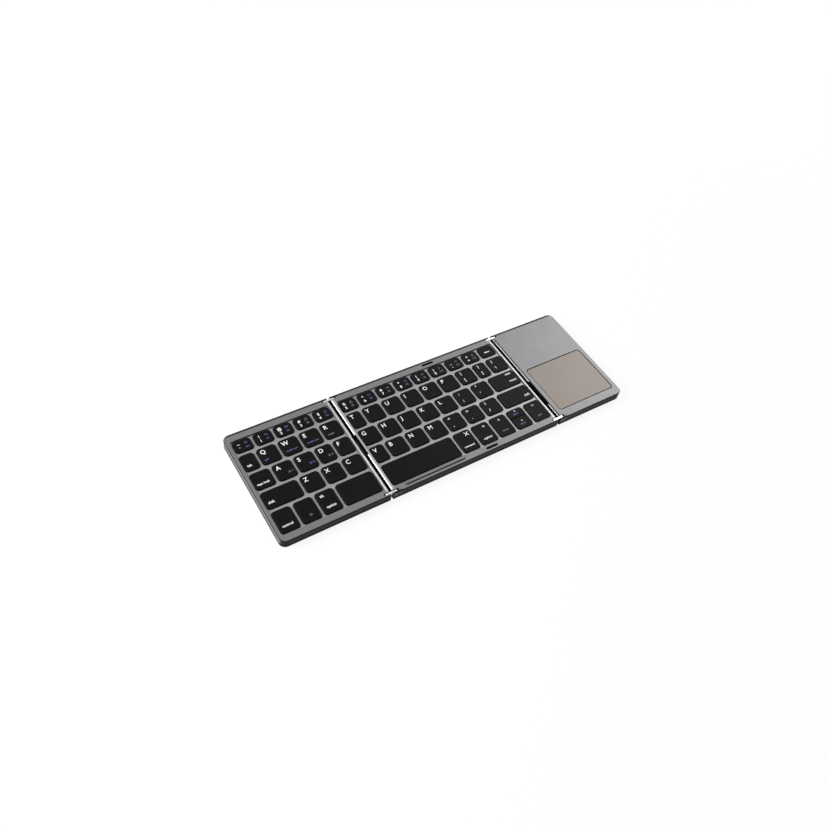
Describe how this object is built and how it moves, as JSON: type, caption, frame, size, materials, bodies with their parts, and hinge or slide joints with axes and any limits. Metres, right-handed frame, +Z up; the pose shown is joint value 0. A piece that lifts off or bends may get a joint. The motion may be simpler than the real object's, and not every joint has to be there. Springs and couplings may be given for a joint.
{
  "type": "folding keyboard",
  "caption": "Slim pocket keyboard in three hinged panels that fold flat over each other, with low key caps and a touchpad in the right-hand panel.",
  "frame": {"origin": "on the table, under the middle of the open keyboard's footprint", "axes": "+X to the right along the keyboard, +Y away from the user, +Z up"},
  "size_m": [0.3046, 0.098, 0.0082],
  "materials": {
    "shell_paint": "satin metallic grey paint",
    "cover_plastic": "fine grained, dark grey",
    "key_plastic": "fine matte, printed legends",
    "bright_steel": "polished",
    "plate_steel": "rolled sheet",
    "screw_steel": "black zinc",
    "socket_steel": "plated sheet",
    "film": "clear film with printed tracks",
    "dome_rubber": "milky silicone",
    "foot_rubber": "matte",
    "cap_plastic": "smooth black",
    "ribbon": "black covered film",
    "touch_surface": "satin, warm grey",
    "circuit_board": "green solder mask",
    "battery_pouch": "laminated foil"
  },
  "bodies": {
    "centre_panel": {"centre_bottom_cover": "cover_plastic", "centre_top_shell": "shell_paint", "centre_key_plate": "plate_steel", "centre_membrane": "film", "centre_key_domes": "dome_rubber", "centre_feet": "foot_rubber", "rim_bumpers": "foot_rubber", "centre_hinge_caps": "cap_plastic", "centre_hinge_pins": "bright_steel", "centre_screws": "screw_steel"},
    "left_links": {"left_fold_links": "bright_steel", "left_fold_spine": "cap_plastic", "left_ribbon_cable": "ribbon"},
    "left_panel": {"left_bottom_cover": "cover_plastic", "left_top_shell": "shell_paint", "left_key_plate": "plate_steel", "left_membrane": "film", "left_key_domes": "dome_rubber", "left_feet": "foot_rubber", "left_hinge_pins": "bright_steel", "left_screws": "screw_steel"},
    "right_links": {"right_fold_links": "bright_steel", "right_fold_spine": "cap_plastic", "right_ribbon_cable": "ribbon"},
    "right_panel": {"right_bottom_cover": "cover_plastic", "right_top_shell": "shell_paint", "touchpad": "touch_surface", "touch_sensor_board": "circuit_board", "main_circuit_board": "circuit_board", "battery": "battery_pouch", "charging_socket": "socket_steel", "right_hinge_caps": "cap_plastic", "right_hinge_pins": "bright_steel", "right_feet": "foot_rubber", "right_screws": "screw_steel"},
    "number_keys_left": {"number_keys_left": "key_plastic"},
    "top_letter_keys_left": {"top_letter_keys_left": "key_plastic"},
    "home_letter_keys_left": {"home_letter_keys_left": "key_plastic"},
    "low_letter_keys_left": {"low_letter_keys_left": "key_plastic"},
    "tab_key": {"tab_key": "key_plastic"},
    "caps_lock_key": {"caps_lock_key": "key_plastic"},
    "shift_key_left": {"shift_key_left": "key_plastic"},
    "control_key": {"control_key": "key_plastic"},
    "fn_key": {"fn_key": "key_plastic"},
    "option_key_left": {"option_key_left": "key_plastic"},
    "space_bar_left": {"space_bar_left": "key_plastic"},
    "number_keys_centre": {"number_keys_centre": "key_plastic"},
    "top_letter_keys_centre": {"top_letter_keys_centre": "key_plastic"},
    "home_letter_keys_centre": {"home_letter_keys_centre": "key_plastic"},
    "low_letter_keys_centre": {"low_letter_keys_centre": "key_plastic"},
    "delete_key": {"delete_key": "key_plastic"},
    "enter_key": {"enter_key": "key_plastic"},
    "shift_key_right": {"shift_key_right": "key_plastic"},
    "space_bar_right": {"space_bar_right": "key_plastic"},
    "command_key": {"command_key": "key_plastic"},
    "option_key_right": {"option_key_right": "key_plastic"},
    "arrow_left_key": {"arrow_left_key": "key_plastic"},
    "arrow_up_key": {"arrow_up_key": "key_plastic"},
    "arrow_down_key": {"arrow_down_key": "key_plastic"},
    "arrow_right_key": {"arrow_right_key": "key_plastic"}
  },
  "joints": [
    {"name": "left_fold", "type": "hinge", "parent": "centre_panel", "child": "left_links", "pos_m": [-0.06285, 0, 0.005], "axis": [0, 1, 0], "range_deg": [0, 90], "deforming": ["left_ribbon_cable"]},
    {"name": "left_fold_outer", "type": "hinge", "parent": "left_links", "child": "left_panel", "pos_m": [-0.06915, 0, 0.005], "axis": [0, 1, 0], "range_deg": [0, 90], "deforming": ["left_ribbon_cable"]},
    {"name": "right_fold", "type": "hinge", "parent": "centre_panel", "child": "right_links", "pos_m": [0.08325, 0, 0.005], "axis": [0, -1, 0], "range_deg": [0, 90], "deforming": ["right_ribbon_cable"]},
    {"name": "right_fold_outer", "type": "hinge", "parent": "right_links", "child": "right_panel", "pos_m": [0.08955, 0, 0.005], "axis": [0, -1, 0], "range_deg": [0, 90], "deforming": ["right_ribbon_cable"]},
    {"name": "number_keys_left_press", "type": "slide", "parent": "left_panel", "child": "number_keys_left", "axis": [0, 0, -1], "range_m": [0, 0.0012], "stiffness_N_per_m": 400, "springref_m": -0.0005, "deforming": ["left_key_domes"]},
    {"name": "top_letter_keys_left_press", "type": "slide", "parent": "left_panel", "child": "top_letter_keys_left", "axis": [0, 0, -1], "range_m": [0, 0.0012], "stiffness_N_per_m": 400, "springref_m": -0.0005, "deforming": ["left_key_domes"]},
    {"name": "home_letter_keys_left_press", "type": "slide", "parent": "left_panel", "child": "home_letter_keys_left", "axis": [0, 0, -1], "range_m": [0, 0.0012], "stiffness_N_per_m": 400, "springref_m": -0.0005, "deforming": ["left_key_domes"]},
    {"name": "low_letter_keys_left_press", "type": "slide", "parent": "left_panel", "child": "low_letter_keys_left", "axis": [0, 0, -1], "range_m": [0, 0.0012], "stiffness_N_per_m": 400, "springref_m": -0.0005, "deforming": ["left_key_domes"]},
    {"name": "tab_key_press", "type": "slide", "parent": "left_panel", "child": "tab_key", "axis": [0, 0, -1], "range_m": [0, 0.0012], "stiffness_N_per_m": 400, "springref_m": -0.0005, "deforming": ["left_key_domes"]},
    {"name": "caps_lock_key_press", "type": "slide", "parent": "left_panel", "child": "caps_lock_key", "axis": [0, 0, -1], "range_m": [0, 0.0012], "stiffness_N_per_m": 400, "springref_m": -0.0005, "deforming": ["left_key_domes"]},
    {"name": "shift_key_left_press", "type": "slide", "parent": "left_panel", "child": "shift_key_left", "axis": [0, 0, -1], "range_m": [0, 0.0012], "stiffness_N_per_m": 400, "springref_m": -0.0005, "deforming": ["left_key_domes"]},
    {"name": "control_key_press", "type": "slide", "parent": "left_panel", "child": "control_key", "axis": [0, 0, -1], "range_m": [0, 0.0012], "stiffness_N_per_m": 400, "springref_m": -0.0005, "deforming": ["left_key_domes"]},
    {"name": "fn_key_press", "type": "slide", "parent": "left_panel", "child": "fn_key", "axis": [0, 0, -1], "range_m": [0, 0.0012], "stiffness_N_per_m": 400, "springref_m": -0.0005, "deforming": ["left_key_domes"]},
    {"name": "option_key_left_press", "type": "slide", "parent": "left_panel", "child": "option_key_left", "axis": [0, 0, -1], "range_m": [0, 0.0012], "stiffness_N_per_m": 400, "springref_m": -0.0005, "deforming": ["left_key_domes"]},
    {"name": "space_bar_left_press", "type": "slide", "parent": "left_panel", "child": "space_bar_left", "axis": [0, 0, -1], "range_m": [0, 0.0012], "stiffness_N_per_m": 400, "springref_m": -0.0005, "deforming": ["left_key_domes"]},
    {"name": "number_keys_centre_press", "type": "slide", "parent": "centre_panel", "child": "number_keys_centre", "axis": [0, 0, -1], "range_m": [0, 0.0012], "stiffness_N_per_m": 400, "springref_m": -0.0005, "deforming": ["centre_key_domes"]},
    {"name": "top_letter_keys_centre_press", "type": "slide", "parent": "centre_panel", "child": "top_letter_keys_centre", "axis": [0, 0, -1], "range_m": [0, 0.0012], "stiffness_N_per_m": 400, "springref_m": -0.0005, "deforming": ["centre_key_domes"]},
    {"name": "home_letter_keys_centre_press", "type": "slide", "parent": "centre_panel", "child": "home_letter_keys_centre", "axis": [0, 0, -1], "range_m": [0, 0.0012], "stiffness_N_per_m": 400, "springref_m": -0.0005, "deforming": ["centre_key_domes"]},
    {"name": "low_letter_keys_centre_press", "type": "slide", "parent": "centre_panel", "child": "low_letter_keys_centre", "axis": [0, 0, -1], "range_m": [0, 0.0012], "stiffness_N_per_m": 400, "springref_m": -0.0005, "deforming": ["centre_key_domes"]},
    {"name": "delete_key_press", "type": "slide", "parent": "centre_panel", "child": "delete_key", "axis": [0, 0, -1], "range_m": [0, 0.0012], "stiffness_N_per_m": 400, "springref_m": -0.0005, "deforming": ["centre_key_domes"]},
    {"name": "enter_key_press", "type": "slide", "parent": "centre_panel", "child": "enter_key", "axis": [0, 0, -1], "range_m": [0, 0.0012], "stiffness_N_per_m": 400, "springref_m": -0.0005, "deforming": ["centre_key_domes"]},
    {"name": "shift_key_right_press", "type": "slide", "parent": "centre_panel", "child": "shift_key_right", "axis": [0, 0, -1], "range_m": [0, 0.0012], "stiffness_N_per_m": 400, "springref_m": -0.0005, "deforming": ["centre_key_domes"]},
    {"name": "space_bar_right_press", "type": "slide", "parent": "centre_panel", "child": "space_bar_right", "axis": [0, 0, -1], "range_m": [0, 0.0012], "stiffness_N_per_m": 400, "springref_m": -0.0005, "deforming": ["centre_key_domes"]},
    {"name": "command_key_press", "type": "slide", "parent": "centre_panel", "child": "command_key", "axis": [0, 0, -1], "range_m": [0, 0.0012], "stiffness_N_per_m": 400, "springref_m": -0.0005, "deforming": ["centre_key_domes"]},
    {"name": "option_key_right_press", "type": "slide", "parent": "centre_panel", "child": "option_key_right", "axis": [0, 0, -1], "range_m": [0, 0.0012], "stiffness_N_per_m": 400, "springref_m": -0.0005, "deforming": ["centre_key_domes"]},
    {"name": "arrow_left_key_press", "type": "slide", "parent": "centre_panel", "child": "arrow_left_key", "axis": [0, 0, -1], "range_m": [0, 0.0012], "stiffness_N_per_m": 400, "springref_m": -0.0005, "deforming": ["centre_key_domes"]},
    {"name": "arrow_up_key_press", "type": "slide", "parent": "centre_panel", "child": "arrow_up_key", "axis": [0, 0, -1], "range_m": [0, 0.0012], "stiffness_N_per_m": 400, "springref_m": -0.0005, "deforming": ["centre_key_domes"]},
    {"name": "arrow_down_key_press", "type": "slide", "parent": "centre_panel", "child": "arrow_down_key", "axis": [0, 0, -1], "range_m": [0, 0.0012], "stiffness_N_per_m": 400, "springref_m": -0.0005, "deforming": ["centre_key_domes"]},
    {"name": "arrow_right_key_press", "type": "slide", "parent": "centre_panel", "child": "arrow_right_key", "axis": [0, 0, -1], "range_m": [0, 0.0012], "stiffness_N_per_m": 400, "springref_m": -0.0005, "deforming": ["centre_key_domes"]}
  ],
  "couplings": [
    {"joint": "left_fold_outer", "follows": "left_fold", "ratio": 1},
    {"joint": "right_fold_outer", "follows": "right_fold", "ratio": 1}
  ]
}
